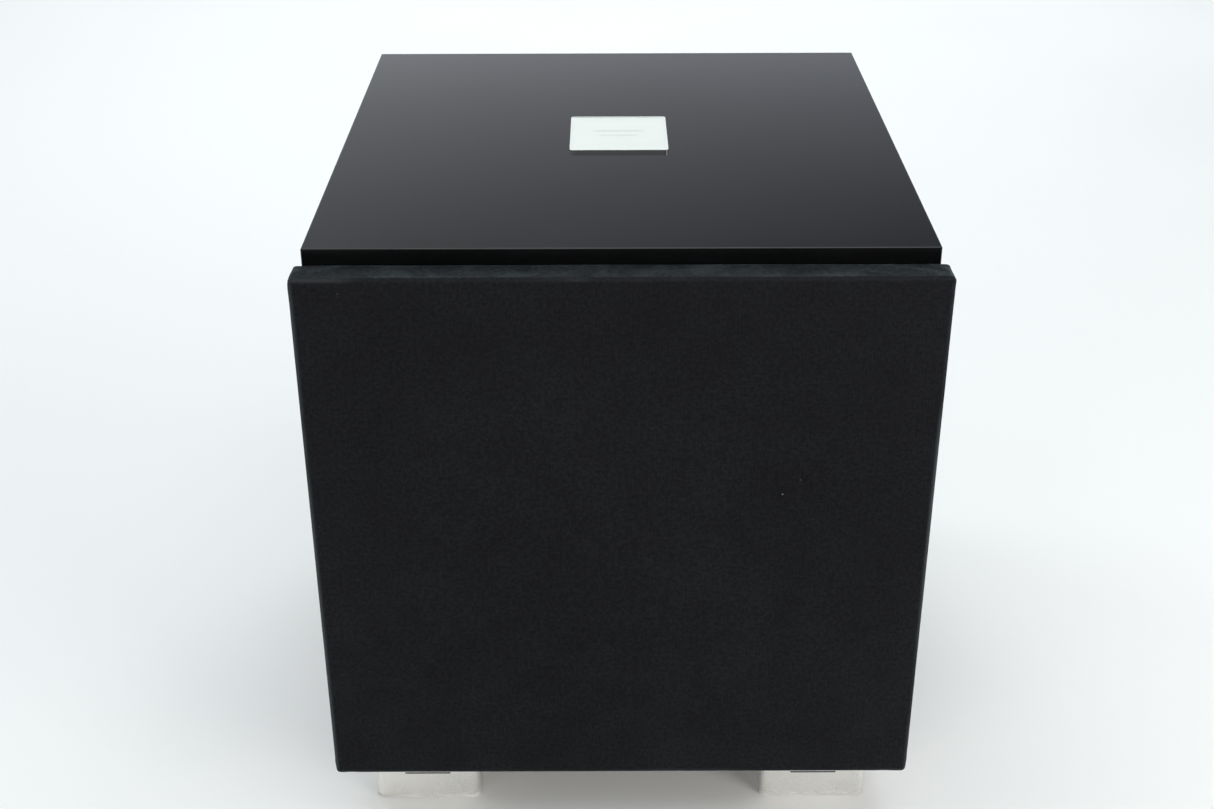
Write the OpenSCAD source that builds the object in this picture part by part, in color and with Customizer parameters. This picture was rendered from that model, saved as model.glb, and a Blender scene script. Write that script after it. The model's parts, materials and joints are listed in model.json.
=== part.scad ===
// Powered subwoofer: a free-standing lacquered cabinet on four metal feet, with a woofer
// behind a pull-off cloth grille, a passive radiator in the underside and an amplifier
// plate in the rear. The front faces -Y, +X is to the right seen from the front, and the
// feet stand on z = 0.

/* [Cabinet] */
// Width across the side panels
cab_w = 330; // [326:1:345]
// Depth from the front face to the rear face
cab_d = 355; // [350:1:380]
// Height of the cabinet without its feet
cab_h = 339; // [334:1:350]
// Thickness of the top, bottom, side and rear boards
board_t = 18; // [17:0.5:18.5]
// Thickness of the front baffle
baffle_t = 22; // [20:1:25]
// Rounding of the outer edges
edge_r = 0.5; // [0.3:0.1:2.4]

/* [Feet and badge] */
// Width of a foot block
foot_w = 65; // [60:1:66]
// Depth of a foot block
foot_d = 60; // [56:1:61]
// Height of a foot block
foot_h = 34; // [30:1:40]
// Set-back of a foot from the cabinet's sides and ends
foot_inset = 13; // [10:0.5:14]
// Rounding of a foot's upright edges
foot_r = 4.5; // [3:0.5:10]
// Thickness of the pad under a foot
pad_t = 2.5; // [1.5:0.5:4]
// Width of the badge on the top
badge_w = 58.5; // [40:0.5:80]
// Depth of the badge on the top
badge_d = 62.5; // [40:0.5:80]
// Height of the badge above the top
badge_h = 1.7; // [1:0.1:4]

/* [Grille] */
// Width over the cloth
grille_w = 340; // [332:1:342]
// Height over the cloth
grille_h = 321; // [316:1:328]
// Thickness over the cloth
grille_t = 18; // [17:0.5:24]
// Rounding of the grille's edges
grille_r = 2; // [2:0.5:5]
// Width of the frame's bars
bar_w = 17; // [15:0.5:20]
// Thickness of the cloth
cloth_t = 0.8; // [0.6:0.1:1]

/* [Drive units] */
// Travel of the woofer cone each way
cone_travel = 12; // [6:1:12]
// Number of screws in each drive unit
screw_count = 8; // [6:2:10]

/* [Amplifier plate] */
// Width of the plate
plate_w = 210; // [206:1:216]
// Height of the plate
plate_h = 260; // [256:1:266]
// Thickness of the plate
plate_t = 3; // [2:0.5:3]
// Radius of a knob
knob_r = 11; // [9:0.5:13]
// Height of a knob above the rear face
knob_h = 12; // [11:0.5:16]

/* [Hidden] */
$fn = 64;

// Clearances
gap = 0.3;      // between curved faces of different bodies
run = 0.08;     // shaft in a bush
hair = 0.05;    // pieces fixed to each other

// Places of the cabinet's faces
cab_z0 = foot_h + pad_t;
cab_z1 = cab_z0 + cab_h;
cab_zc = (cab_z0 + cab_z1) / 2;
cab_y0 = grille_t - (grille_t + cab_d + knob_h) / 2;
cab_y1 = cab_y0 + cab_d;
cab_yc = (cab_y0 + cab_y1) / 2;
in_x = cab_w / 2 - board_t;
in_y0 = cab_y0 + baffle_t;
in_y1 = cab_y1 - board_t;
in_z0 = cab_z0 + board_t;
in_z1 = cab_z1 - board_t;

// Feet
foot_x = cab_w / 2 - foot_inset - foot_w / 2;
foot_y = cab_d / 2 - foot_inset - foot_d / 2;
bolt_r = 4;
bolt_head_r = 6.5;
bolt_head_h = 5;
counterbore_r = 7.5;
counterbore_h = 14;
insert_r = 5.5;
insert_h = 14;

// Grille
peg_x = 140;
peg_z = 132;
peg_r = 3.4;
peg_len = 12;
peg_stud_r = 2;
peg_stud_len = 8;
socket_r = 6;
socket_len = 15;
gusset = 40;
return_w = 12;

// Drive units: radius and depth from the panel's outer face, shared by both units
frame_r = 131;      // outside of the basket's flange
recess_h = 6;       // depth of the recess the flange lies in
cutout_r = 116;     // hole through the panel
screw_pcd_r = 123;
screw_r = 2.1;
screw_head_r = 4.2;
roll_r = 103;       // middle of the surround's half roll
roll_out = 8;       // outer radius of the half roll
roll_t = 0.8;
land_z = -1;        // face that the surround is glued to
cone_r = 96;
coil_in_r = 25;
former_r = 25.4;
winding_r = 26.1;
pole_r = 24.4;
shelf_z = -69.5;    // the woofer spider's seat
motor_z = -91;      // face that the motor is bolted to
top_plate_t = 8;
magnet_t = 20 + cone_travel; // leaves the coil room to travel inwards
back_plate_t = 8;
neck_z = -56;       // where the woofer cone meets its coil former
rad_shelf_z = -40;  // the radiator spider's seat
rad_hub_r = 26;

// Amplifier plate, in its own frame: +X right and +Y up seen from behind, +Z outwards
plate_lip = 0.3;
cut_w = 190;
cut_h = 240;
seal_t = 1;
amp_screw_r = 1.7;
amp_screws_at = concat(
    [for (x = [-100, 100], y = [-110, 0, 110]) [x, y]],
    [for (x = [-60, 60], y = [-125, 125]) [x, y]]
);
crossover_at = [-50, 92];
level_at = [50, 92];
phase_at = [0, 92];
sockets_at = [[-62, 44], [-38, 44], [-14, 44]];
high_level_at = [52, 36];
inlet_at = [48, -88];
switch_at = [-58, -90];
toroid_at = [-45, -30];
sink_at = [50, -26];
shaft_r = 3;
bush_r = 4.4;
phase_tilt = 12;
rocker_tilt = 9;
rocker_pivot_z = -2;

// Route of the upper speaker lead, from the woofer's terminals to the power board
lead_r = 1.2;
lead_route = [
    [84, -97, 4], [96, -88, 4], [100, -60, 3], [98, -30, 1], [88, 0, -1], [66, 30, -1],
    [36, 62, 0], [6, 92, 2], [-22, 116, 3], [-40, 128, 4], [-48, 136, 4], [-50, 144.5, 4]
];
lead_steps = 3;

// Shared shapes

module round_rect(w, h, r) {
    square([w - 2 * r, h], center = true);
    square([w, h - 2 * r], center = true);
    for (x = [-1, 1], y = [-1, 1])
        translate([x * (w / 2 - r), y * (h / 2 - r)]) circle(r);
}

// A block with all its edges rounded, centred on the origin
module soft_block(w, d, h, r) {
    intersection() {
        linear_extrude(h, center = true) round_rect(w, d, r);
        rotate([90, 0, 0]) linear_extrude(d, center = true) round_rect(w, h, r);
        rotate([90, 0, 90]) linear_extrude(w, center = true) round_rect(d, h, r);
    }
}

module block(low, high) {
    translate(low) cube(high - low);
}

module disc(r, z0, z1) {
    translate([0, 0, z0]) cylinder(r = r, h = z1 - z0);
}

module ring(r_in, r_out, z0, z1) {
    difference() {
        disc(r_out, z0, z1);
        disc(r_in, z0 - 1, z1 + 1);
    }
}

module cabinet_envelope() {
    translate([0, cab_yc, cab_zc]) soft_block(cab_w, cab_d, cab_h, edge_r);
}

// Frames of the woofer, the radiator and the amplifier plate: +Z points out of the cabinet
module at_woofer() {
    translate([0, cab_y0, cab_zc]) rotate([90, 0, 0]) children();
}

module at_radiator() {
    translate([0, cab_yc, cab_z0]) rotate([180, 0, 0]) children();
}

module at_rear() {
    translate([0, cab_y1, cab_zc]) rotate([90, 0, 180]) children();
}

module at_feet() {
    for (x = [-1, 1], y = [-1, 1])
        translate([x * foot_x, cab_yc + y * foot_y, 0]) children();
}

module at_pegs() {
    for (x = [-1, 1], z = [-1, 1])
        translate([x * peg_x, cab_y0, cab_zc + z * peg_z]) rotate([90, 0, 0]) children();
}

module at_driver_screws() {
    for (i = [0:screw_count - 1])
        rotate([0, 0, (i + 0.5) * 360 / screw_count]) translate([screw_pcd_r, 0, 0]) children();
}

// Cabinet

module top_panel() {
    color("#0b0b0d") intersection() {
        cabinet_envelope();
        block([-cab_w, cab_y0 - 1, in_z1], [cab_w, cab_y1 + 1, cab_z1 + 1]);
    }
}

module bottom_panel() {
    color("#0b0b0d") difference() {
        intersection() {
            cabinet_envelope();
            block([-cab_w, cab_y0 - 1, cab_z0 - 1], [cab_w, cab_y1 + 1, in_z0]);
        }
        at_radiator() driver_hole(board_t);
        at_feet() disc(insert_r + hair, cab_z0 - 1, cab_z0 + insert_h);
    }
}

module side_panels() {
    color("#0b0b0d") for (x = [-1, 1])
        intersection() {
            cabinet_envelope();
            block(
                [x > 0 ? in_x : -cab_w, cab_y0 - 1, in_z0],
                [x > 0 ? cab_w : -in_x, cab_y1 + 1, in_z1]
            );
        }
}

module front_baffle() {
    color("#141414") difference() {
        block([-in_x, cab_y0, in_z0], [in_x, in_y0, in_z1]);
        at_woofer() driver_hole(baffle_t);
        at_pegs() disc(socket_r + hair, -socket_len - hair, 1);
    }
}

module rear_panel() {
    color("#141414") difference() {
        block([-in_x, in_y1, in_z0], [in_x, cab_y1, in_z1]);
        at_rear() {
            translate([-cut_w / 2, -cut_h / 2, -board_t - 1]) cube([cut_w, cut_h, board_t + 2]);
            translate([-plate_w / 2 - plate_lip, -plate_h / 2 - plate_lip, -plate_t - seal_t])
                cube([plate_w + 2 * plate_lip, plate_h + 2 * plate_lip, 10]);
            for (p = amp_screws_at)
                translate(p) disc(amp_screw_r + hair, -15, 1);
        }
    }
}

// The hole and the recess that a drive unit is let into, with its screws' pilot holes
module driver_hole(panel_t) {
    disc(cutout_r, -panel_t - 1, 1);
    disc(frame_r + gap, -recess_h, 1);
    at_driver_screws() disc(screw_r + hair, -recess_h - 10, 1);
}

module window_brace() {
    leg_x = 118;
    bar_z = 330;
    color("#a98a5f") difference() {
        block([-in_x, 20, in_z0], [in_x, 38, in_z1]);
        block([-leg_x, 19, in_z0 - 1], [leg_x, 39, bar_z]);
    }
}

module damping_wadding() {
    pad = 15;
    color("#d9d6cc") {
        for (x = [-1, 1], y = [[-140, 14], [44, 150]])
            block(
                [x > 0 ? in_x - pad : -in_x, y[0], in_z0 + 30],
                [x > 0 ? in_x : pad - in_x, y[1], in_z1 - 20]
            );
        block([-100, -140, in_z1 - pad], [100, 14, in_z1]);
    }
}

module badge() {
    rim = 1;
    sunk = 0.25;
    color("#e4e5e6") translate([0, cab_yc, cab_z1]) difference() {
        linear_extrude(badge_h) round_rect(badge_w, badge_d, 2);
        translate([0, 0, badge_h - sunk])
            linear_extrude(1) round_rect(badge_w - 2 * rim, badge_d - 2 * rim, 2 - rim);
        for (y = [-4, 4])
            translate([0, y, badge_h - sunk - 0.15])
                linear_extrude(1) square([y > 0 ? 30 : 22, 1.4], center = true);
    }
}

// Feet

module foot(x, y) {
    color("#bdbbb7") difference() {
        translate([x * foot_x, cab_yc + y * foot_y, pad_t])
            linear_extrude(foot_h) round_rect(foot_w, foot_d, foot_r);
        translate([x * foot_x, cab_yc + y * foot_y, 0]) {
            disc(bolt_r + gap, 0, cab_z0 + 1);
            disc(counterbore_r, 0, pad_t + counterbore_h);
            // Plain engraved bar on the face that looks outwards
            translate([0, y * foot_d / 2, cab_z0 / 2 + 1]) cube([28, 0.8, 1.2], center = true);
        }
    }
}

module foot_front_left() {
    foot(-1, -1);
}

module foot_front_right() {
    foot(1, -1);
}

module foot_rear_left() {
    foot(-1, 1);
}

module foot_rear_right() {
    foot(1, 1);
}

module foot_pads() {
    color("#e6e6e4") at_feet()
        linear_extrude(pad_t) round_rect(foot_w, foot_d, foot_r);
}

module foot_bolts() {
    head_z = pad_t + counterbore_h;
    color("#8d9094") at_feet() difference() {
        union() {
            disc(bolt_r, head_z, cab_z0 + insert_h - 1);
            disc(bolt_head_r, head_z - bolt_head_h, head_z);
        }
        translate([0, 0, head_z - bolt_head_h - 1]) cylinder(r = 3.4, h = 4, $fn = 6);
    }
}

module threaded_inserts() {
    color("#c3a552") at_feet() ring(bolt_r + hair, insert_r, cab_z0, cab_z0 + insert_h);
}

// Grille

module grille_frame() {
    w = grille_w - 2 * cloth_t;
    h = grille_h - 2 * cloth_t;
    t = grille_t - 2 * cloth_t;
    win_x = w / 2 - bar_w;
    win_z = h / 2 - bar_w;
    color("#1b1b1b") difference() {
        translate([0, cab_y0 - grille_t / 2, cab_zc]) soft_block(w, t, h, grille_r - cloth_t);
        translate([0, cab_y0 - grille_t / 2, cab_zc]) rotate([90, 0, 0])
            linear_extrude(grille_t + 2, center = true) polygon([
                [win_x - gusset, win_z], [gusset - win_x, win_z],
                [-win_x, win_z - gusset], [-win_x, gusset - win_z],
                [gusset - win_x, -win_z], [win_x - gusset, -win_z],
                [win_x, gusset - win_z], [win_x, win_z - gusset]
            ]);
        at_pegs() disc(peg_stud_r + hair, 0, cloth_t + peg_stud_len + hair);
    }
}

module grille_cloth() {
    inner_w = grille_w - 2 * cloth_t;
    inner_h = grille_h - 2 * cloth_t;
    inner_t = grille_t - 2 * cloth_t;
    color("#1e2023") translate([0, cab_y0 - grille_t / 2, cab_zc]) difference() {
        soft_block(grille_w, grille_t, grille_h, grille_r);
        soft_block(inner_w, inner_t, inner_h, grille_r - cloth_t);
        translate([0, grille_t / 2, 0])
            cube([inner_w - 2 * return_w, 4 * cloth_t, inner_h - 2 * return_w], center = true);
    }
}

module grille_pegs() {
    tip = 1;
    color("#202020") at_pegs() {
        disc(peg_stud_r, cloth_t, cloth_t + peg_stud_len);
        disc(peg_r, tip - peg_len, cloth_t);
        translate([0, 0, -peg_len]) cylinder(r1 = peg_r - tip, r2 = peg_r, h = tip);
    }
}

module grille_sockets() {
    color("#0f0f0f") at_pegs() difference() {
        disc(socket_r, -socket_len, 0);
        disc(peg_r + 0.2, -socket_len + 1.5, 1);
    }
}

// Woofer

module basket_windows(count, width, z0, z1) {
    for (i = [0:count - 1])
        rotate([0, 0, i * 360 / count]) translate([62, -width / 2, z0]) cube([60, width, z1 - z0]);
}

module flange_holes() {
    at_driver_screws() disc(screw_r + gap, -recess_h, 1);
}

module woofer_basket() {
    color("#2b2c2e") at_woofer() difference() {
        rotate_extrude() polygon([
            [110, land_z], [frame_r, land_z], [frame_r, -5], [115.5, -5], [115.5, -13],
            [76, shelf_z - 2.5], [59, shelf_z - 2.5], [59, motor_z], [30, motor_z],
            [30, motor_z + 2.5], [56.5, motor_z + 2.5], [56.5, shelf_z], [74.3, shelf_z],
            [113, -12], [113, -4], [110, -4]
        ]);
        basket_windows(6, 60, -62, -18);
        flange_holes();
    }
}

function arc(cx, cz, r, a0, a1, n) =
    [for (i = [0:n]) let (a = a0 + (a1 - a0) * i / n) [cx + r * cos(a), cz + r * sin(a)]];

// A half-roll ring, glued flat to the flange outside and to the cone's rim inside
module half_roll() {
    rotate_extrude() polygon(concat(
        [[91, land_z], [91, land_z + roll_t]],
        arc(roll_r, land_z + roll_t, roll_out, 180, 0, 20),
        [[115, land_z + roll_t], [115, land_z]],
        arc(roll_r, land_z, roll_out - roll_t, 0, 180, 20)
    ));
}

// A corrugated disc between two flat bands, the outer one glued to its seat
module corrugated_disc(r_in, r_out, z, t) {
    neck_band = 5;
    seat_band = 17;
    steps = 48;
    waves = 4;
    height = 1.6;
    a = r_in + neck_band;
    b = r_out - seat_band;
    wave = [for (i = [0:steps]) [a + (b - a) * i / steps, z + height * sin(360 * waves * i / steps)]];
    rotate_extrude() polygon(concat(
        [[r_in, z]], wave, [[r_out, z], [r_out, z + t]],
        [for (i = [steps:-1:0]) wave[i] + [0, t]], [[r_in, z + t]]
    ));
}

module woofer_surround() {
    color("#222222") at_woofer() half_roll();
}

module woofer_cone() {
    color("#1a1a1c") at_woofer() rotate_extrude() polygon([
        [cone_r, land_z], [91, land_z], [26.7, neck_z], [former_r + hair, neck_z],
        [former_r + hair, neck_z - 8], [26.7, neck_z - 8], [26.7, neck_z - 2],
        [91.4, land_z - 1.6], [cone_r, land_z - 1.6]
    ]);
}

module woofer_dust_cap() {
    rim_r = 36;
    rise = 10;
    t = 0.8;
    ball_r = (rim_r * rim_r + rise * rise) / (2 * rise);
    centre_z = -48 + rise - ball_r;
    half = asin(rim_r / ball_r);
    color("#161618") at_woofer() rotate_extrude() polygon(concat(
        arc(0, centre_z, ball_r, 90 - half, 90, 16),
        arc(0, centre_z + t, ball_r, 90, 90 - half, 16)
    ));
}

module woofer_spider() {
    color("#b98b3c") at_woofer() corrugated_disc(former_r + hair, 72, shelf_z, 0.8);
}

module woofer_voice_coil() {
    color("#b8763a") at_woofer() rotate_extrude() polygon([
        [coil_in_r, -110], [winding_r, -110], [winding_r, -80], [former_r, -80],
        [former_r, neck_z + 2], [coil_in_r, neck_z + 2]
    ]);
}

module woofer_top_plate() {
    color("#8a8d90") at_woofer() ring(winding_r + 0.5, 60, motor_z - top_plate_t, motor_z);
}

module woofer_magnet() {
    top = motor_z - top_plate_t;
    color("#3a3b3d") at_woofer() ring(34, 70, top - magnet_t, top);
}

module woofer_back_plate() {
    top = motor_z - top_plate_t - magnet_t;
    color("#8a8d90") at_woofer() difference() {
        union() {
            disc(64, top - back_plate_t, top);
            disc(pole_r, top - 1, motor_z - 1);
        }
        disc(9, top - back_plate_t - 1, motor_z);
    }
}

// Where the terminal block sits on the back of the spider shelf
terminal_x = 60;
tag_z = shelf_z - 7.5;

module woofer_terminals() {
    top = shelf_z - 2.5;
    color("#c9b26a") at_woofer() {
        block([terminal_x, -11, top - 10], [terminal_x + 14, 11, top]);
        for (y = [-6, 4])
            block([terminal_x + 14, y, tag_z - 0.4], [terminal_x + 22, y + 2, tag_z + 0.4]);
    }
}

// Passive radiator

module radiator_basket() {
    color("#2b2c2e") at_radiator() difference() {
        rotate_extrude() polygon([
            [110, land_z], [frame_r, land_z], [frame_r, -5], [115.5, -5], [115.5, -13],
            [84, rad_shelf_z - 2.5], [62, rad_shelf_z - 2.5], [62, rad_shelf_z],
            [82.5, rad_shelf_z], [113, -12], [113, -4], [110, -4]
        ]);
        basket_windows(6, 60, -34, -18);
        flange_holes();
    }
}

module radiator_surround() {
    color("#222222") at_radiator() half_roll();
}

module radiator_cone() {
    hub = rad_hub_r - hair;
    color("#1a1a1c") at_radiator() rotate_extrude() polygon([
        [0, -9], [22, -9], [60, -6], [88, land_z], [cone_r, land_z], [cone_r, land_z - 1.6],
        [88.5, land_z - 1.6], [60, -8], [hub, -11], [hub, rad_shelf_z - 4],
        [hub - 1.6, rad_shelf_z - 4], [hub - 1.6, -12.5], [0, -12.5]
    ]);
}

module radiator_spider() {
    color("#b98b3c") at_radiator() corrugated_disc(rad_hub_r, 78, rad_shelf_z, 0.8);
}

module radiator_mass() {
    disc_t = 5;
    top = -12.5;
    color("#9a9da0") at_radiator() for (i = [0:3])
        disc(21 - i * 0.5, top - (i + 1) * disc_t, top - i * disc_t);
}

module gaskets() {
    color("#101010") {
        at_woofer() driver_gasket();
        at_radiator() driver_gasket();
        at_rear() difference() {
            translate([0, 0, -plate_t - seal_t]) linear_extrude(seal_t) difference() {
                square([plate_w - 1, plate_h - 1], center = true);
                square([cut_w + 1, cut_h + 1], center = true);
            }
            for (p = amp_screws_at)
                translate(p) disc(amp_screw_r + gap, -10, 1);
        }
    }
}

module driver_gasket() {
    difference() {
        ring(cutout_r + 0.5, frame_r - 0.5, -recess_h, -5);
        flange_holes();
    }
}

module driver_screws() {
    color("#303234") {
        at_woofer() at_driver_screws() driver_screw();
        at_radiator() at_driver_screws() driver_screw();
    }
}

module driver_screw() {
    difference() {
        union() {
            disc(screw_r, -recess_h - 9.5, land_z);
            disc(screw_head_r, land_z, land_z + 2.4);
        }
        translate([0, 0, land_z + 1]) cylinder(r = 1.6, h = 3, $fn = 6);
    }
}

// Amplifier

module amp_plate() {
    color("#17181a") at_rear() difference() {
        translate([0, 0, -plate_t]) linear_extrude(plate_t) round_rect(plate_w, plate_h, 3);
        for (p = amp_screws_at)
            translate(p) disc(amp_screw_r + gap, -9, 1);
        for (p = [crossover_at, level_at])
            translate(p) disc(bush_r + hair, -9, 1);
        translate(phase_at) disc(3 + hair, -9, 1);
        for (p = sockets_at)
            translate(p) disc(4.15 + hair, -9, 1);
        translate(high_level_at) disc(12 + hair, -9, 1);
        translate(inlet_at) inlet_body(hair, -9, 1);
        translate(switch_at) switch_body(hair, -9, 1);
        translate(toroid_at) disc(3 + hair, -9, 1);
    }
}

module amp_screws() {
    color("#3a3c3e") at_rear() for (p = amp_screws_at)
        translate(p) difference() {
            union() {
                disc(amp_screw_r, -14, 0);
                disc(3.5, 0, 1.8);
            }
            translate([0, 0, 0.6]) cylinder(r = 1.3, h = 3, $fn = 6);
        }
}

module amp_heatsink() {
    w = 64;
    h = 70;
    base = 5;
    fin = 2;
    deep = 22;
    color("#8f9296") at_rear() translate([sink_at[0] - w / 2, sink_at[1] - h / 2, -plate_t - base]) {
        cube([w, h, base]);
        for (i = [0:6])
            translate([i * (w - fin) / 6, 0, -deep]) cube([fin, h, deep]);
    }
}

// Preamplifier board behind the controls, and power board behind the heat sink
power_z = -34;
post_at = [for (x = [-40, 40], y = [-32, 32]) sink_at + [x, y]];

module circuit_boards() {
    thick = 1.6;
    color("#1f5a36") at_rear() {
        translate([-85, 17, -18]) cube([170, 91, thick]);
        translate([sink_at[0] - 44, sink_at[1] - 36, power_z - thick]) cube([88, 72, thick]);
    }
}

module board_posts() {
    color("#b7a56a") at_rear() {
        for (p = post_at)
            translate(p) disc(3, power_z, -plate_t);
        for (x = [-80, 80], y = [22, 103])
            translate([x, y, 0]) disc(3, -16.4, -plate_t);
    }
}

module transformer() {
    color("#c8a23a") at_rear() translate(toroid_at) rotate_extrude()
        translate([29.5, -plate_t - 21]) round_rect(31, 40, 8);
}

module transformer_clamp() {
    color("#7c7f83") at_rear() translate(toroid_at) {
        disc(3, -plate_t - 46, 0);
        ring(3, 26, -plate_t - 1, -plate_t);
        ring(3, 26, -plate_t - 43, -plate_t - 41);
        translate([0, 0, -plate_t - 47]) cylinder(r = 5.5, h = 4, $fn = 6);
        cylinder(r = 5, h = 2.5);
    }
}

module filter_capacitors() {
    top = power_z - 1.6;
    color("#27304a") at_rear() {
        for (x = [-20, 18])
            translate([sink_at[0] + x, sink_at[1] - 14, 0]) disc(15, top - 36, top);
        for (x = [-36, -24, 30])
            translate([sink_at[0] + x, sink_at[1] + 24, 0]) disc(5, top - 16, top);
    }
}

// Speaker leads

function unit(v) = v / norm(v);

// Point at u of the way from b to c on a smooth curve through a, b, c and d
function curve(a, b, c, d, u) =
    0.5 * (2 * b + (c - a) * u + (2 * a - 5 * b + 4 * c - d) * u * u
    + (3 * b - a - 3 * c + d) * u * u * u);

function smooth(route, steps) = let (last = len(route) - 1) concat(
    [for (i = [0:last - 1], k = [0:steps - 1]) curve(
        route[max(i - 1, 0)], route[i], route[i + 1], route[min(i + 2, last)], k / steps
    )],
    [route[last]]
);

module swept_wire(route, r) {
    pts = smooth(route, lead_steps);
    last = len(pts) - 1;
    sides = 8;
    rings = [for (i = [0:last])
        let (t = unit(pts[min(i + 1, last)] - pts[max(i - 1, 0)]))
        let (s = unit(cross(t, [0, 0, 1])))
        let (u = cross(s, t))
        for (k = [0:sides - 1]) pts[i] + r * (cos(k * 360 / sides) * s + sin(k * 360 / sides) * u)];
    walls = [for (i = [0:last - 1], k = [0:sides - 1])
        let (n = (k + 1) % sides)
        [i * sides + k, i * sides + n, (i + 1) * sides + n, (i + 1) * sides + k]];
    low = [for (k = [sides - 1:-1:0]) k];
    high = [for (k = [0:sides - 1]) last * sides + k];
    polyhedron(points = rings, faces = concat(walls, [low, high]), convexity = 4);
}

module speaker_leads() {
    color("#8c1f1f") for (drop = [0, 10])
        swept_wire([for (p = lead_route) p + [0, 0, cab_zc - drop]], lead_r);
}

// Controls

module knob(at) {
    body_r = knob_r - 1.5;
    at_rear() translate(at) difference() {
        union() {
            disc(knob_r, 0.6, 3);
            disc(body_r, 3, knob_h);
        }
        disc(7, 0, 2.8);
        disc(shaft_r + hair, 0, knob_h - 2.5);
        for (i = [0:17])
            rotate([0, 0, i * 20 + 10]) translate([body_r + 0.5, 0, 3.5]) cylinder(r = 1, h = knob_h);
        translate([-0.5, 2, knob_h - 0.5]) cube([1, body_r, 1]);
    }
}

module crossover_knob() {
    color("#232425") knob(crossover_at);
}

module level_knob() {
    color("#232425") knob(level_at);
}

module shaft(at) {
    at_rear() translate(at) disc(shaft_r, -12, knob_h - 3);
}

module crossover_shaft() {
    color("#a9acb0") shaft(crossover_at);
}

module level_shaft() {
    color("#a9acb0") shaft(level_at);
}

module potentiometers() {
    color("#5d6064") at_rear() for (p = [crossover_at, level_at])
        translate(p) difference() {
            union() {
                translate([-8.5, -8.5, -plate_t - 10]) cube([17, 17, 10]);
                disc(bush_r, -plate_t - 1, 2);
                cylinder(r = 6, h = 2, $fn = 6);
            }
            disc(shaft_r + run, -12.4, 3);
        }
}

module phase_switch_body() {
    color("#6a6d71") at_rear() translate(phase_at) difference() {
        union() {
            translate([-6.5, -4, -plate_t - 10]) cube([13, 8, 10]);
            disc(3, -plate_t - 1, 4);
            cylinder(r = 5, h = 1.6, $fn = 6);
        }
        disc(2.2, -6, 5);
    }
}

module phase_toggle() {
    color("#c4c7ca") at_rear() translate(phase_at) rotate([phase_tilt, 0, 0]) {
        sphere(r = 1.9);
        disc(1, 0, 4.5);
        translate([0, 0, 4.5]) cylinder(r1 = 1, r2 = 1.4, h = 5.5);
        translate([0, 0, 10]) sphere(r = 1.4);
    }
}

module switch_body(grow, z0, z1) {
    translate([0, 0, z0]) linear_extrude(z1 - z0) square([19 + 2 * grow, 24.6 + 2 * grow], center = true);
}

module power_switch_housing() {
    color("#0d0d0e") at_rear() translate(switch_at) difference() {
        union() {
            linear_extrude(2) round_rect(22, 28, 1.5);
            switch_body(0, -18, 0);
        }
        translate([-7.2, -9.9, -10]) cube([14.4, 19.8, 20]);
        translate([0, 0, rocker_pivot_z]) rotate([0, 90, 0])
            cylinder(r = 1.5 + run, h = 17.4, center = true);
    }
}

module power_rocker() {
    color("#1c1c1e") at_rear() translate(concat(switch_at, [rocker_pivot_z]))
        rotate([rocker_tilt, 0, 0]) {
            rotate([90, 0, 90]) linear_extrude(13.8, center = true) polygon([
                [-8.8, 3.6], [-8.8, 1.5], [-4, -6], [4, -6], [8.8, 1.5], [8.8, 3.6], [0, 2.4]
            ]);
            rotate([0, 90, 0]) cylinder(r = 1.5, h = 17, center = true);
        }
}

module inlet_body(grow, z0, z1) {
    translate([0, 0, z0]) linear_extrude(z1 - z0) square([30 + 2 * grow, 40 + 2 * grow], center = true);
}

drawer_y = -13;     // middle of the fuse drawer below the inlet's centre
pins_y = 5;

module inlet_pins(grow) {
    for (p = [[-7, pins_y], [7, pins_y], [0, pins_y + 4]])
        translate([p[0], p[1], -15.5])
            cube([2 + 2 * grow, 4 + 2 * grow, 28 + 2 * grow], center = true);
}

module mains_inlet() {
    color("#0d0d0e") at_rear() translate(inlet_at) difference() {
        union() {
            linear_extrude(2.5) round_rect(34, 46, 2.5);
            inlet_body(0, -24, 0);
        }
        // Socket with its two cut corners
        translate([0, 7, -16]) linear_extrude(30) polygon([
            [-12.2, -8.4], [12.2, -8.4], [12.2, 4.4], [8.2, 8.4], [-8.2, 8.4], [-12.2, 4.4]
        ]);
        translate([-13.1, drawer_y - 4.8, -20]) cube([26.2, 9.6, 30]);
        inlet_pins(hair);
    }
}

module mains_pins() {
    color("#c9ccd0") at_rear() translate(inlet_at) inlet_pins(0);
}

module fuse_drawer() {
    color("#161617") at_rear() translate(inlet_at + [0, drawer_y]) difference() {
        union() {
            translate([-12.8, -4.5, -19.7]) cube([25.6, 9, 22.7]);
            translate([-6, 2.2, 3]) cube([12, 2, 1.6]);
        }
        translate([-10.4, -2.9, -14]) cube([20.8, 10, 5.8]);
    }
}

module fuse() {
    color("#d4d7da") at_rear() translate(concat(inlet_at + [0, drawer_y], [-11.1]))
        rotate([0, 90, 0]) cylinder(r = 2.6, h = 20, center = true);
}

module line_sockets() {
    color("#c9a94e") at_rear() for (p = sockets_at)
        translate(p) difference() {
            union() {
                translate([-6, -6, -plate_t - 10]) cube([12, 12, 10]);
                disc(4.15, -plate_t - 1, 9);
                disc(6, 0, 1);
            }
            disc(1.7, 1, 10);
        }
}

module high_level_socket() {
    color("#101113") at_rear() translate(high_level_at) difference() {
        union() {
            linear_extrude(2) round_rect(26, 31, 2);
            disc(12, -12, 0);
        }
        ring(6.5, 10.5, -8, 3);
        for (a = [45:90:315])
            rotate([0, 0, a]) translate([3.6, 0, 0]) disc(0.9, -5, 3);
        for (x = [-1, 1])
            translate([x * 9.6, x * 12.2, 0]) disc(1.6, 0.8, 3);
    }
}

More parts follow.
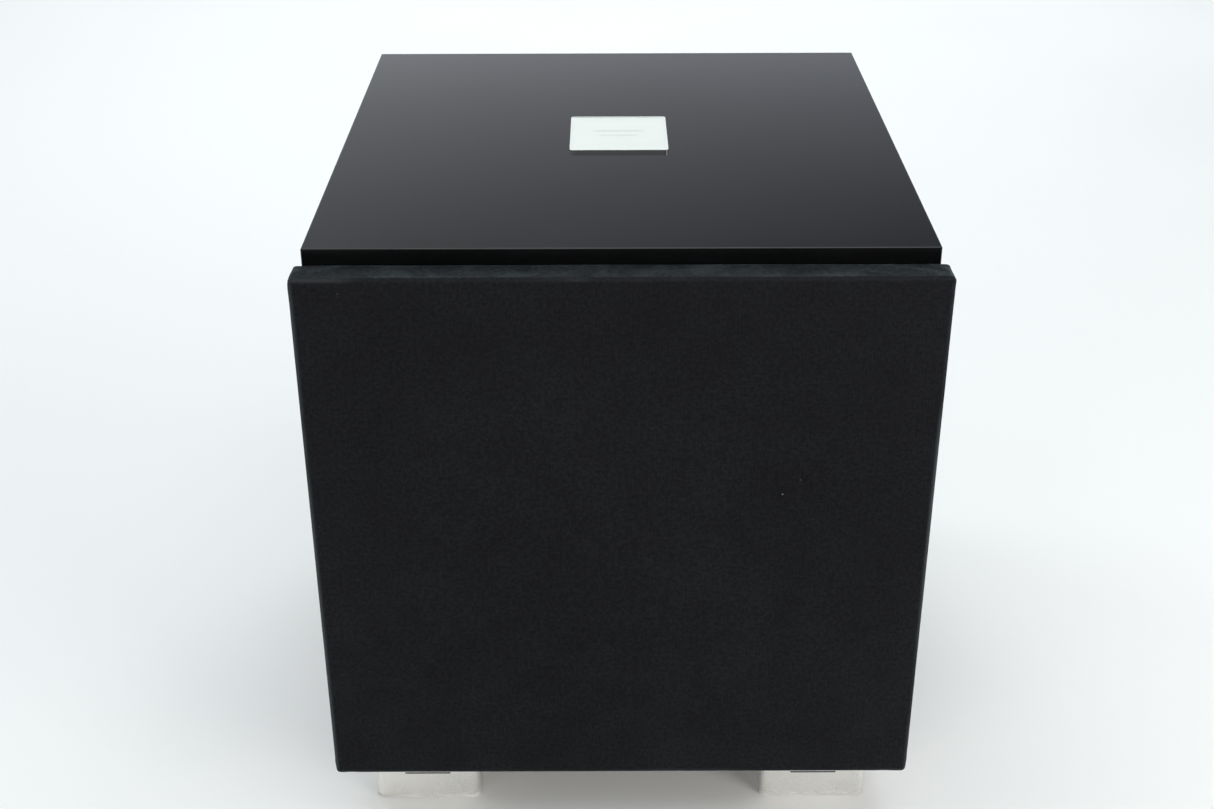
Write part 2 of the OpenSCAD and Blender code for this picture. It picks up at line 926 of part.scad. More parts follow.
top_panel();
bottom_panel();
side_panels();
front_baffle();
rear_panel();
window_brace();
damping_wadding();
badge();
foot_front_left();
foot_front_right();
foot_rear_left();
foot_rear_right();
foot_pads();
foot_bolts();
threaded_inserts();
grille_frame();
grille_cloth();
grille_pegs();
grille_sockets();
woofer_basket();
woofer_surround();
woofer_cone();
woofer_dust_cap();
woofer_spider();
woofer_voice_coil();
woofer_top_plate();
woofer_magnet();
woofer_back_plate();
woofer_terminals();
radiator_basket();
radiator_surround();
radiator_cone();
radiator_spider();
radiator_mass();
gaskets();
driver_screws();
amp_plate();
amp_screws();
amp_heatsink();
circuit_boards();
board_posts();
transformer();
transformer_clamp();
filter_capacitors();
speaker_leads();
crossover_knob();
level_knob();
crossover_shaft();
level_shaft();
potentiometers();
phase_switch_body();
phase_toggle();
power_switch_housing();
power_rocker();
mains_inlet();
mains_pins();
fuse_drawer();
fuse();
line_sockets();
high_level_socket();
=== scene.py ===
import json
import math

import bmesh
import bpy
from mathutils import Matrix, Vector, noise


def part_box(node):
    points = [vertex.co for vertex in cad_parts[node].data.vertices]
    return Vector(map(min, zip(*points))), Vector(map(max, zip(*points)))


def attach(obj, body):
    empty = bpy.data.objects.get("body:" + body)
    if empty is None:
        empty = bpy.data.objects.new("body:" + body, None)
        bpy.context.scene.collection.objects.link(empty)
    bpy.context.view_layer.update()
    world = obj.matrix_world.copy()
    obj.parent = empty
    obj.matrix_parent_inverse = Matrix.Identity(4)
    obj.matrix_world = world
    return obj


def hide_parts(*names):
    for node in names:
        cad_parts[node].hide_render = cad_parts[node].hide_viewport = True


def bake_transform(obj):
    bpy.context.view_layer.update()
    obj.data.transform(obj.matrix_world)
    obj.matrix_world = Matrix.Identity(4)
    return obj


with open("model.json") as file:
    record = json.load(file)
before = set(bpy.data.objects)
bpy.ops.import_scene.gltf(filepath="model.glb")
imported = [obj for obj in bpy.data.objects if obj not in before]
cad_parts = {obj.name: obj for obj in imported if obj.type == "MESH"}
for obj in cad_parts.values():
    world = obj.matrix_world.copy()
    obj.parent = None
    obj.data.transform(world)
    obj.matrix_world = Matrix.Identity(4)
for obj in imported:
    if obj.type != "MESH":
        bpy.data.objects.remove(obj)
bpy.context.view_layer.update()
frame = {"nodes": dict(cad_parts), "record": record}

MM = 0.001
nodes = frame["nodes"]


# ---- Places, all from the frame ----------------------------------------------------------

top_low, top_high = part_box("top_panel")
bottom_low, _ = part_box("bottom_panel")
cloth_low, cloth_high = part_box("grille_cloth")
CAB_FRONT, CAB_BACK = top_low.y, top_high.y
CAB_TOP, CAB_BOTTOM = top_high.z, bottom_low.z
CAB_WIDTH = top_high.x - top_low.x
CAB_MID = Vector((0, (CAB_FRONT + CAB_BACK) / 2, (CAB_TOP + CAB_BOTTOM) / 2))


def node_centre(name):
    low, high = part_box(name)
    return (low + high) / 2


def rear_point(x, y, z=0.0):
    """A point given as right, up and outwards on the amplifier plate as seen from behind."""
    return Vector((-x, CAB_BACK + z, CAB_MID.z + y))


# ---- Camera ------------------------------------------------------------------------------

# The camera's place is measured in cabinet widths from the middle of the top's front edge.
CAMERA_OFFSET = Vector((-0.0244, -2.3956, 0.9966)) * CAB_WIDTH
CAMERA_PITCH, CAMERA_YAW, CAMERA_ROLL = (math.radians(a) for a in (27.963, 0.030, -0.169))

camera = bpy.data.objects.new("camera", bpy.data.cameras.new("camera"))
camera.data.lens = 49.25
camera.data.sensor_width = 36.0
camera.data.clip_start = 0.01
camera.data.clip_end = 100.0
camera.matrix_world = (
    Matrix.Translation(Vector((0, CAB_FRONT, CAB_TOP)) + CAMERA_OFFSET)
    @ Matrix.Rotation(-CAMERA_YAW, 4, "Z")
    @ Matrix.Rotation(math.pi / 2 - CAMERA_PITCH, 4, "X")
    @ Matrix.Rotation(CAMERA_ROLL, 4, "Z")
)
bpy.context.scene.collection.objects.link(camera)
bpy.context.scene.camera = camera


# ---- Materials: a small builder ----------------------------------------------------------


class Look:
    """A material whose patterns lie in object coordinates, so they run on from piece to piece."""

    def __init__(self, name, colour, roughness, **constants):
        self.material = bpy.data.materials.new(name)
        self.material.use_nodes = True
        self.tree = self.material.node_tree
        self.shader = self.tree.nodes["Principled BSDF"]
        self.shader.inputs["Base Color"].default_value = (*colour, 1)
        self.shader.inputs["Roughness"].default_value = roughness
        titles = {"ior": "IOR", "specular_ior_level": "Specular IOR Level"}
        for key, value in constants.items():
            title = titles.get(key, key.replace("_", " ").title())
            self.shader.inputs[title].default_value = value
        self.place = self.node("ShaderNodeTexCoord").outputs["Object"]
        self.normal = None

    def node(self, kind, **settings):
        made = self.tree.nodes.new(kind)
        for key, value in settings.items():
            setattr(made, key, value)
        return made

    def feed(self, socket, value):
        if isinstance(value, bpy.types.NodeSocket):
            self.tree.links.new(value, socket)
        else:
            socket.default_value = value

    def stretched(self, stretch):
        mapping = self.node("ShaderNodeMapping")
        self.feed(mapping.inputs["Vector"], self.place)
        mapping.inputs["Scale"].default_value = stretch
        return mapping.outputs["Vector"]

    def noise(self, scale, detail=3.0, stretch=None, warp=0.0):
        """Soft noise from 0 to 1, with about scale blobs in a metre."""
        made = self.node("ShaderNodeTexNoise")
        self.feed(made.inputs["Vector"], self.stretched(stretch) if stretch else self.place)
        made.inputs["Scale"].default_value = scale
        made.inputs["Detail"].default_value = detail
        made.inputs["Distortion"].default_value = warp
        return made.outputs["Fac"]

    def cells(self, scale, scatter=1.0, stretch=None, output="Distance"):
        """Distance to the nearest of points scattered about scale to a metre, or their colour."""
        made = self.node("ShaderNodeTexVoronoi")
        self.feed(made.inputs["Vector"], self.stretched(stretch) if stretch else self.place)
        made.inputs["Scale"].default_value = scale
        made.inputs["Randomness"].default_value = scatter
        return made.outputs[output]

    def bands(self, axis, pitch, warp=0.0):
        """Sine bands across one axis, pitch metres apart."""
        made = self.node("ShaderNodeTexWave", wave_type="BANDS", bands_direction=axis)
        self.feed(made.inputs["Vector"], self.place)
        made.inputs["Scale"].default_value = math.pi / 10 / pitch
        made.inputs["Distortion"].default_value = warp
        return made.outputs["Fac"]

    def maths(self, operation, a, b):
        made = self.node("ShaderNodeMath", operation=operation)
        self.feed(made.inputs[0], a)
        self.feed(made.inputs[1], b)
        return made.outputs["Value"]

    def spread(self, value, from_low, from_high, to_low, to_high):
        made = self.node("ShaderNodeMapRange", interpolation_type="SMOOTHSTEP")
        self.feed(made.inputs["Value"], value)
        for key, limit in zip(("From Min", "From Max", "To Min", "To Max"),
                              (from_low, from_high, to_low, to_high)):
            made.inputs[key].default_value = limit
        return made.outputs["Result"]

    def colours(self, factor, stops):
        """Base colour from a ramp over factor: stops are (place, colour)."""
        ramp = self.node("ShaderNodeValToRGB")
        elements = ramp.color_ramp.elements
        while len(elements) < len(stops):
            elements.new(0.5)
        for element, (at, colour) in zip(elements, stops):
            element.position = at
            element.color = (*colour, 1)
        self.feed(ramp.inputs["Fac"], factor)
        return ramp.outputs["Color"]

    def mixed(self, factor, a, b):
        made = self.node("ShaderNodeMix", data_type="RGBA")
        self.feed(made.inputs["Factor"], factor)
        for socket, value in ((made.inputs[6], a), (made.inputs[7], b)):
            self.feed(socket, value if isinstance(value, bpy.types.NodeSocket) else (*value, 1))
        return made.outputs[2]

    def base(self, colour):
        self.feed(self.shader.inputs["Base Color"], colour)
        return self

    def rough(self, value):
        self.feed(self.shader.inputs["Roughness"], value)
        return self

    def bump(self, height, depth, strength=1.0):
        """Adds relief of that depth in metres on top of any relief so far."""
        made = self.node("ShaderNodeBump")
        made.inputs["Strength"].default_value = strength
        made.inputs["Distance"].default_value = depth
        self.feed(made.inputs["Height"], height)
        if self.normal:
            self.feed(made.inputs["Normal"], self.normal)
        self.normal = made.outputs["Normal"]
        self.feed(self.shader.inputs["Normal"], self.normal)
        return self


def grey(value, tint=(1.0, 1.0, 1.0)):
    return tuple(value * t for t in tint)


# ---- Materials: one function for each slot -----------------------------------------------


def black_lacquer():
    look = Look("black_lacquer", grey(0.0028), 0.045, ior=1.5)
    cloud = look.noise(9, detail=2)
    dust = look.spread(look.cells(240), 0.02, 0.06, 1.0, 0.0)
    sparse = look.spread(look.noise(31, detail=1), 0.60, 0.72, 0.0, 0.5)
    speck = look.maths("MULTIPLY", dust, sparse)
    film = look.colours(cloud, [(0.35, grey(0.0013)), (0.65, grey(0.0022, (1, 1, 1.06)))])
    look.base(look.mixed(speck, film, grey(0.045)))
    look.rough(look.maths("ADD", look.spread(cloud, 0.3, 0.7, 0.035, 0.06),
                          look.maths("MULTIPLY", speck, 0.3)))
    look.bump(look.noise(260, detail=1), 0.00003, 0.12)
    return look


def plywood():
    look = Look("plywood", grey(0.4), 0.6)
    grain = look.noise(40, detail=6, stretch=(1, 1, 12), warp=0.6)
    ply = look.bands("Y", 0.0028, warp=0.3)
    tone = look.colours(grain, [(0.3, (0.36, 0.25, 0.14)), (0.7, (0.56, 0.42, 0.26))])
    look.base(look.mixed(look.maths("MULTIPLY", ply, 0.25), tone, (0.26, 0.17, 0.09)))
    look.rough(look.spread(grain, 0.2, 0.8, 0.5, 0.75))
    return look.bump(grain, 0.0002, 0.5)


def wadding():
    look = Look("wadding", grey(0.75), 0.95, sheen_weight=0.4, sheen_roughness=0.6)
    fluff = look.noise(420, detail=6, warp=2.0)
    look.base(look.colours(fluff, [(0.3, (0.55, 0.53, 0.47)), (0.7, (0.84, 0.82, 0.77))]))
    return look.bump(fluff, 0.0015, 0.9)


def brushed(name, colour, roughness, axis, metallic=1.0, depth=0.00002, **constants):
    """Satin metal with fine lines along one axis."""
    stretch = [40 if "XYZ"[i] != axis else 1 for i in range(3)]
    look = Look(name, colour, roughness, metallic=metallic, **constants)
    lines = look.noise(60, detail=6, stretch=stretch)
    cloud = look.noise(25, detail=3)
    look.base(look.colours(lines, [(0.25, grey(0.90, colour)), (0.75, grey(1.05, colour))]))
    look.rough(look.maths("ADD", look.spread(lines, 0.2, 0.8, roughness * 0.8, roughness * 1.2),
                          look.spread(cloud, 0.3, 0.7, -0.02, 0.03)))
    return look.bump(lines, depth, 0.35)


def blasted(name, colour, roughness, grain=1400, depth=0.00004, metallic=1.0, **constants):
    """Metal or paint with a fine even grain."""
    look = Look(name, colour, roughness, metallic=metallic, **constants)
    fine = look.noise(grain, detail=3)
    cloud = look.noise(18, detail=4)
    look.base(look.colours(cloud, [(0.3, grey(0.92, colour)), (0.7, grey(1.04, colour))]))
    look.rough(look.maths("ADD", look.spread(cloud, 0.3, 0.7, roughness - 0.04, roughness + 0.04),
                          look.spread(fine, 0.3, 0.7, -0.03, 0.03)))
    return look.bump(fine, depth, 0.3)


def badge_silver():
    """Satin face with polished sides and rim."""
    look = Look("badge_silver", (0.64, 0.65, 0.615), 0.5, metallic=1.0)
    lines = look.noise(300, detail=4, stretch=(1, 25, 1))
    facing = look.node("ShaderNodeSeparateXYZ")
    look.feed(facing.inputs["Vector"], look.node("ShaderNodeTexCoord").outputs["Normal"])
    face = look.spread(facing.outputs["Z"], 0.93, 0.99, 0.0, 1.0)
    look.base(look.colours(lines, [(0.3, (0.625, 0.64, 0.605)), (0.7, (0.66, 0.67, 0.635))]))
    satin = look.spread(lines, 0.2, 0.8, 0.50, 0.60)
    look.rough(look.maths("ADD", look.maths("MULTIPLY", satin, face), 0.12))
    return look.bump(lines, 0.00001, 0.25)


def foot_metal():
    return blasted("foot_metal", (0.82, 0.81, 0.78), 0.27, grain=2200, depth=0.00002, metallic=0.95)


def foot_pad():
    look = Look("foot_pad", (0.44, 0.43, 0.41), 0.5)
    cloud = look.noise(70, detail=4)
    scuff = look.noise(600, detail=2)
    look.base(look.colours(cloud, [(0.3, (0.40, 0.395, 0.375)), (0.7, (0.48, 0.475, 0.455))]))
    look.rough(look.spread(scuff, 0.3, 0.7, 0.34, 0.52))
    return look.bump(scuff, 0.00008, 0.3)


def plastic(name, colour, roughness, grain=1500, depth=0.00006, **constants):
    """Moulded plastic with a spark-eroded texture and faint handling marks."""
    look = Look(name, colour, roughness, **constants)
    texture = look.noise(grain, detail=2)
    cloud = look.noise(45, detail=4)
    look.base(look.colours(cloud, [(0.3, grey(0.8, colour)), (0.7, grey(1.25, colour))]))
    look.rough(look.maths("ADD", look.spread(cloud, 0.3, 0.7, roughness - 0.05, roughness + 0.05),
                          look.spread(texture, 0.3, 0.7, -0.04, 0.04)))
    return look.bump(texture, depth, 0.4)


def grille_cloth():
    look = Look("grille_cloth", grey(0.004), 0.95, sheen_weight=0.14, sheen_roughness=0.36,
                sheen_tint=(0.76, 0.94, 1.0, 1), specular_ior_level=0.06)
    knit = look.cells(1150, scatter=0.45)
    loops = look.maths("ADD", look.bands("X", 0.0017, warp=0.8), look.bands("Z", 0.0015, warp=0.8))
    mottle = look.noise(38, detail=5, warp=0.4)
    fleck = look.noise(520, detail=3)
    patch = look.noise(7, detail=2)
    yarn = look.maths("MULTIPLY", look.spread(knit, 0.12, 0.55, 0.82, 1.14),
                      look.spread(fleck, 0.33, 0.68, 0.76, 1.28))
    clouds = look.maths("ADD", look.maths("MULTIPLY", mottle, 0.6), look.maths("MULTIPLY", patch, 0.4))
    tone = look.colours(clouds,
                        [(0.36, (0.0044, 0.0044, 0.0050)), (0.64, (0.0062, 0.0063, 0.0071))])
    shaded = look.node("ShaderNodeVectorMath", operation="SCALE")
    look.feed(shaded.inputs[0], tone)
    look.feed(shaded.inputs["Scale"], yarn)
    lint = look.spread(look.cells(85), 0.028, 0.052, 1.0, 0.0)
    rare = look.spread(look.noise(23, detail=1), 0.64, 0.70, 0.0, 0.75)
    edge = look.node("ShaderNodeAttribute", attribute_name="edge").outputs["Fac"]
    # Painted highlight: a lighter colour laid along the cloth's rounded front edges, broken up by noise,
    # stands in for the light those edges catch.
    painted_edge_highlight = look.maths("MULTIPLY", edge, look.spread(look.noise(9, detail=3), 0.48, 0.62, 0.15, 0.9))
    wear_and_highlight = look.mixed(painted_edge_highlight, shaded.outputs["Vector"], (0.038, 0.042, 0.046))
    look.base(look.mixed(look.maths("MULTIPLY", lint, rare), wear_and_highlight, (0.20, 0.21, 0.22)))
    nap = look.maths("MULTIPLY", look.spread(fleck, 0.3, 0.7, 0.12, 0.225),
                     look.spread(mottle, 0.3, 0.7, 0.75, 1.3))
    side = look.node("ShaderNodeAttribute", attribute_name="side").outputs["Fac"]
    blotch = look.spread(look.noise(48, detail=4, warp=1.0), 0.46, 0.64, 0.0, 0.12)
    nap = look.maths("ADD", nap, look.maths("MULTIPLY", side, blotch))
    look.feed(look.shader.inputs["Sheen Weight"], nap)
    look.rough(look.spread(mottle, 0.3, 0.7, 0.86, 0.98))
    look.bump(look.maths("MULTIPLY", loops, 0.5), 0.00012, 0.5)
    return look.bump(knit, 0.00025, 0.6)


def rubber(name, colour, roughness, **constants):
    look = Look(name, colour, roughness, **constants)
    bloom = look.noise(55, detail=5, warp=0.5)
    skin = look.noise(1100, detail=2)
    look.base(look.colours(bloom, [(0.3, grey(0.8, colour)), (0.72, grey(1.7, colour))]))
    look.rough(look.spread(bloom, 0.3, 0.7, roughness - 0.08, roughness + 0.10))
    return look.bump(skin, 0.00008, 0.3)


def cone():
    look = Look("cone", grey(0.022), 0.42)
    flakes = look.cells(950)
    cloud = look.noise(60, detail=5)
    look.base(look.colours(cloud, [(0.3, grey(0.016)), (0.7, grey(0.034, (1, 1, 1.05)))]))
    look.rough(look.maths("ADD", look.spread(flakes, 0.0, 0.6, 0.30, 0.46),
                          look.spread(cloud, 0.3, 0.7, 0, 0.08)))
    return look.bump(flakes, 0.00010, 0.35)


def woven(name, dark, light, pitch, roughness=0.85):
    """Plain weave, seen from any side."""
    look = Look(name, light, roughness)
    threads = look.maths("ADD", look.bands("X", pitch),
                         look.maths("ADD", look.bands("Y", pitch), look.bands("Z", pitch)))
    cloud = look.noise(30, detail=4)
    share = look.maths("MULTIPLY", threads, 0.25)
    look.base(look.colours(look.maths("ADD", share, look.maths("MULTIPLY", cloud, 0.35)),
                           [(0.2, dark), (0.8, light)]))
    look.rough(look.spread(cloud, 0.3, 0.7, roughness - 0.1, roughness))
    return look.bump(threads, 0.0003, 0.6)


def copper_coil():
    look = Look("copper_coil", (0.72, 0.36, 0.18), 0.3, metallic=1.0)
    turns = look.bands("Y", 0.0006)
    look.base(look.colours(turns, [(0.2, (0.42, 0.17, 0.08)), (0.8, (0.80, 0.42, 0.22))]))
    look.rough(look.spread(look.noise(80), 0.3, 0.7, 0.22, 0.38))
    return look.bump(turns, 0.0002, 0.8)


def board_green():
    look = Look("board_green", (0.015, 0.12, 0.05), 0.32, coat_weight=0.5, coat_roughness=0.15)
    tracks = look.cells(130, scatter=0.2, stretch=(1, 0.2, 1), output="Color")
    weave = look.noise(900, detail=1)
    look.base(look.mixed(look.spread(tracks, 0.45, 0.55, 0.0, 1.0), (0.012, 0.10, 0.045), (0.02, 0.17, 0.07)))
    look.rough(look.spread(weave, 0.3, 0.7, 0.26, 0.40))
    return look.bump(weave, 0.00005, 0.3)


def toroid_tape():
    look = Look("toroid_tape", (0.62, 0.40, 0.08), 0.35, coat_weight=0.4, coat_roughness=0.2)
    wraps = look.noise(120, detail=3, stretch=(1, 6, 1), warp=1.0)
    look.base(look.colours(wraps, [(0.3, (0.36, 0.20, 0.03)), (0.7, (0.74, 0.50, 0.12))]))
    look.rough(look.spread(wraps, 0.3, 0.7, 0.26, 0.48))
    return look.bump(wraps, 0.0004, 0.5)


def fuse_glass():
    look = Look("fuse_glass", (0.82, 0.86, 0.86), 0.06, transmission_weight=0.9, ior=1.5)
    look.rough(look.spread(look.noise(300), 0.3, 0.7, 0.03, 0.10))
    return look


def ink(name, colour):
    look = Look(name, colour, 0.5)
    wear_and_highlight = look.noise(900, detail=3)
    look.base(look.colours(wear_and_highlight, [(0.3, grey(0.75, colour)), (0.6, colour)]))
    look.rough(look.spread(wear_and_highlight, 0.3, 0.7, 0.4, 0.6))
    return look.bump(wear_and_highlight, 0.00003, 0.3)


LOOKS = {
    "black_lacquer": black_lacquer(),
    "plywood": plywood(),
    "wadding": wadding(),
    "badge_silver": badge_silver(),
    "foot_metal": foot_metal(),
    "foot_pad": foot_pad(),
    "bright_steel": brushed("bright_steel", (0.60, 0.61, 0.62), 0.28, "Y"),
    "black_steel": blasted("black_steel", (0.035, 0.035, 0.038), 0.38, metallic=0.4),
    "brass": brushed("brass", (0.80, 0.60, 0.26), 0.24, "Y"),
    "grille_plastic": plastic("grille_plastic", grey(0.02), 0.55),
    "grille_cloth": grille_cloth(),
    "black_rubber": rubber("black_rubber", grey(0.016), 0.55, sheen_weight=0.15),
    "cast_frame": blasted("cast_frame", grey(0.026), 0.5, grain=900, depth=0.0001, metallic=0.0),
    "cone": cone(),
    "spider_cloth": woven("spider_cloth", (0.36, 0.22, 0.06), (0.66, 0.45, 0.17), 0.0012),
    "copper_coil": copper_coil(),
    "ferrite": blasted("ferrite", grey(0.055), 0.7, grain=700, depth=0.0002, metallic=0.0),
    "plate_black": brushed("plate_black", (0.030, 0.031, 0.034), 0.36, "X", metallic=0.6),
    "sink_aluminium": brushed("sink_aluminium", (0.72, 0.73, 0.75), 0.32, "Z"),
    "board_green": board_green(),
    "toroid_tape": toroid_tape(),
    "capacitor_sleeve": plastic("capacitor_sleeve", (0.02, 0.035, 0.12), 0.3, coat_weight=0.3),
    "lead_red": rubber("lead_red", (0.42, 0.015, 0.015), 0.4),
    "knob_black": plastic("knob_black", grey(0.024), 0.42, grain=1800),
    "switch_chrome": brushed("switch_chrome", (0.78, 0.79, 0.80), 0.14, "Y"),
    "gloss_black": plastic("gloss_black", grey(0.012), 0.14, depth=0.00002),
    "inlet_black": plastic("inlet_black", grey(0.018), 0.45),
    "fuse_glass": fuse_glass(),
    "white_ink": ink("white_ink", (0.66, 0.66, 0.64)),
    "red_ink": ink("red_ink", (0.50, 0.02, 0.02)),
    "blue_ink": ink("blue_ink", (0.03, 0.10, 0.42)),
    "dark_ink": ink("dark_ink", (0.05, 0.05, 0.055)),
}


def dress(piece, slot_name):
    """Gives a piece the look of a record slot."""
    piece.data.materials.clear()
    piece.data.materials.append(LOOKS[slot_name].material)


for entry in frame["record"]["subparts"]:
    dress(nodes[entry["node"]], entry["material_slot"])


# ---- Hard edges --------------------------------------------------------------------------

# Width of the small bevel on each node's sharp edges, in millimetres. The cabinet's panels
# have none: their outer edges are round in the frame, and their joints are filled and flush.
BEVELS = {
    "badge": 0.45, "foot_front_left": 0.5, "foot_front_right": 0.5, "foot_rear_left": 0.5,
    "foot_rear_right": 0.5, "foot_pads": 0.6, "grille_frame": 0.4, "woofer_basket": 0.4,
    "radiator_basket": 0.4, "woofer_cone": 0.2, "woofer_top_plate": 0.5, "woofer_magnet": 1.0,
    "woofer_back_plate": 0.8, "driver_screws": 0.3, "amp_plate": 0.35, "amp_screws": 0.25,
    "amp_heatsink": 0.3, "circuit_boards": 0.15, "transformer_clamp": 0.4,
    "filter_capacitors": 1.0, "crossover_knob": 0.35, "level_knob": 0.35,
    "phase_switch_body": 0.2, "power_switch_housing": 0.35, "power_rocker": 0.35,
    "mains_inlet": 0.4, "mains_pins": 0.35, "fuse_drawer": 0.3, "line_sockets": 0.25,
    "high_level_socket": 0.35, "foot_bolts": 0.4, "window_brace": 0.5, "radiator_mass": 0.4,
    "grille_pegs": 0.3,
}


def soften_edges(piece, width):
    bevel = piece.modifiers.new("edges", "BEVEL")
    bevel.width = width * MM
    bevel.segments = 2
    bevel.limit_method = "ANGLE"
    bevel.angle_limit = math.radians(40)
    bevel.use_clamp_overlap = True
    bevel.harden_normals = True


for name, width in BEVELS.items():
    soften_edges(nodes[name], width)


# ---- Mesh helpers ------------------------------------------------------------------------


def add_mesh(name, points, faces, smooth=True):
    mesh = bpy.data.meshes.new(name)
    mesh.from_pydata([tuple(p) for p in points], [], faces)
    mesh.update()
    if smooth:
        mesh.polygons.foreach_set("use_smooth", [True] * len(mesh.polygons))
    made = bpy.data.objects.new(name, mesh)
    bpy.context.scene.collection.objects.link(made)
    return made


def face_outwards(piece):
    work = bmesh.new()
    work.from_mesh(piece.data)
    bmesh.ops.recalc_face_normals(work, faces=work.faces)
    work.to_mesh(piece.data)
    work.free()


def step(value, low, high):
    t = min(max((value - low) / (high - low), 0.0), 1.0)
    return t * t * (3 - 2 * t)


# ---- Grille cloth ------------------------------------------------------------------------

FRONT_ROUND = 2.0 * MM      # rounding of the cloth over the frame's front edges
BACK_ROUND = 0.7 * MM       # and where it turns in behind the frame
CORNER_ROUND = 2.8 * MM     # rounding of its four corners as seen from the front
RETURN_WIDTH = 12.0 * MM    # cloth glued down behind the frame
CLOTH_THICK = 0.5 * MM
CLOTH_PUCKER = 0.30 * MM    # height of the creases that gather at the corners
CLOTH_DIP = 0.6 * MM        # how far the middle is drawn in between the bars


def grid_lines(low, high, fine_to, fine_step, coarse_step):
    """Values from low to high, close together near both ends."""
    count = max(1, round(fine_to / fine_step))
    fine = [fine_to * i / count for i in range(count + 1)]
    start, stop = low + fine[-1], high - fine[-1]
    count = max(1, round((stop - start) / coarse_step))
    middle = [start + (stop - start) * i / count for i in range(1, count)]
    return [low + f for f in fine] + middle + [high - f for f in reversed(fine)]


def cloth_offset(point, low, high):
    """How far the cloth stands off its plain shape at a point, inwards or outwards."""
    middle = (low + high) / 2
    half = (high - low) / 2
    u = abs(point.x - middle.x) / half.x
    v = abs(point.z - middle.z) / half.z
    from_x = half.x - abs(point.x - middle.x)
    from_z = half.z - abs(point.z - middle.z)
    near = math.hypot(from_x, from_z)
    angle = math.atan2(from_z, from_x + 1e-6)
    corner = math.exp(-near / (8 * MM)) * step(near, 0, 3 * MM)
    pucker = CLOTH_PUCKER * corner * math.cos(13 * angle + 9 * noise.noise(point * 60))
    front = 1 - step(point.y - low.y, 0, 4 * MM)
    dip = -CLOTH_DIP * front * max(0.0, 1 - u ** 5) * max(0.0, 1 - v ** 5)
    slack = 0.18 * MM * noise.noise(Vector((point.x * 22, point.y * 60, point.z * 22)))
    return pucker + dip + slack * step(min(from_x, from_z) + (point.y - low.y), 0, 5 * MM)


def edge_share(point, low, high):
    """1 where the cloth is drawn over a front edge, falling to 0 within a few millimetres."""
    from_side = min(point.x - low.x, high.x - point.x, point.z - low.z, high.z - point.z)
    return 1 - step(max(abs(from_side), abs(point.y - low.y)), 0.8 * MM, 2.6 * MM)


def side_share(point, low, high):
    """0 on the front, 1 on the four sides."""
    return step(point.y - low.y, 1.0 * MM, 3.0 * MM)


def grille_cloth_piece():
    """One sheet over the frame's front, round its edges and a little way along its back."""
    low, high = cloth_low.copy(), cloth_high.copy()
    xs = grid_lines(low.x, high.x, 30 * MM, 1.0 * MM, 6 * MM)
    zs = grid_lines(low.z, high.z, 30 * MM, 1.0 * MM, 6 * MM)
    ys = grid_lines(low.y, high.y, 3 * MM, 0.35 * MM, 1.5 * MM)
    points, index, faces = [], {}, []

    def vertex(x, y, z):
        key = tuple(round(c / MM, 4) for c in (x, y, z))
        if key not in index:
            index[key] = len(points)
            points.append(Vector((x, y, z)))
        return index[key]

    def patch(a_values, b_values, place):
        for a, a2 in zip(a_values, a_values[1:]):
            for b, b2 in zip(b_values, b_values[1:]):
                faces.append([vertex(*place(*c)) for c in ((a, b), (a2, b), (a2, b2), (a, b2))])

    patch(xs, zs, lambda a, b: (a, low.y, b))
    for z in (low.z, high.z):
        patch(xs, ys, lambda a, b: (a, b, z))
    for x in (low.x, high.x):
        patch(zs, ys, lambda a, b: (x, b, a))

    def returned(value, ends):
        return min(value - ends[0], ends[1] - value) < RETURN_WIDTH + 0.5 * MM

    for a, a2 in zip(xs, xs[1:]):
        for b, b2 in zip(zs, zs[1:]):
            mid_a, mid_b = (a + a2) / 2, (b + b2) / 2
            if returned(mid_a, (low.x, high.x)) or returned(mid_b, (low.z, high.z)):
                faces.append([vertex(p, high.y, q) for p, q in ((a, b), (a2, b), (a2, b2), (a, b2))])

    placed = []
    for point in points:
        back = step(point.y, low.y + 4 * MM, high.y - 2 * MM)
        rounding = FRONT_ROUND + (BACK_ROUND - FRONT_ROUND) * back
        inset = Vector((CORNER_ROUND, rounding, CORNER_ROUND))
        core = Vector(min(max(p, a), b) for p, a, b in zip(point, low + inset, high - inset))
        outwards = Vector((point.x - core.x, 0, point.z - core.z))
        if outwards.length > 0:
            core += outwards.normalized() * min(outwards.length, CORNER_ROUND - rounding)
        away = (point - core).normalized()
        placed.append(core + away * (rounding + cloth_offset(point, low, high)))
    piece = add_mesh("grille_cloth_sheet", placed, faces)
    face_outwards(piece)
    for name, share in (("edge", edge_share), ("side", side_share)):
        attribute = piece.data.attributes.new(name, "FLOAT", "POINT")
        attribute.data.foreach_set("value", [share(point, low, high) for point in points])
    shell = piece.modifiers.new("thickness", "SOLIDIFY")
    shell.thickness = CLOTH_THICK
    shell.offset = -1
    return piece


cloth = grille_cloth_piece()
dress(cloth, "grille_cloth")
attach(cloth, "grille")
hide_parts("grille_cloth")


# ---- Surrounds and spiders ---------------------------------------------------------------

ROLL_MIDDLE, ROLL_OUTER, ROLL_THICK = 103 * MM, 8 * MM, 0.8 * MM
LAND_IN, LAND_OUT = 91 * MM, 115 * MM
LAND_HEIGHT = -1 * MM


def roll_profile():
    """Closed outline (radius, height) of a half roll with a flat band at each foot."""
    steps = 28
    outer = [math.pi - math.pi * i / steps for i in range(steps + 1)]
    top = LAND_HEIGHT + ROLL_THICK
    line = [(LAND_IN, LAND_HEIGHT), (LAND_IN, top)]
    line += [(ROLL_MIDDLE + ROLL_OUTER * math.cos(a), top + ROLL_OUTER * math.sin(a)) for a in outer]
    line += [(LAND_OUT, top), (LAND_OUT, LAND_HEIGHT)]
    inner = ROLL_OUTER - ROLL_THICK
    line += [(ROLL_MIDDLE + inner * math.cos(a), LAND_HEIGHT + inner * math.sin(a)) for a in reversed(outer)]
    return line


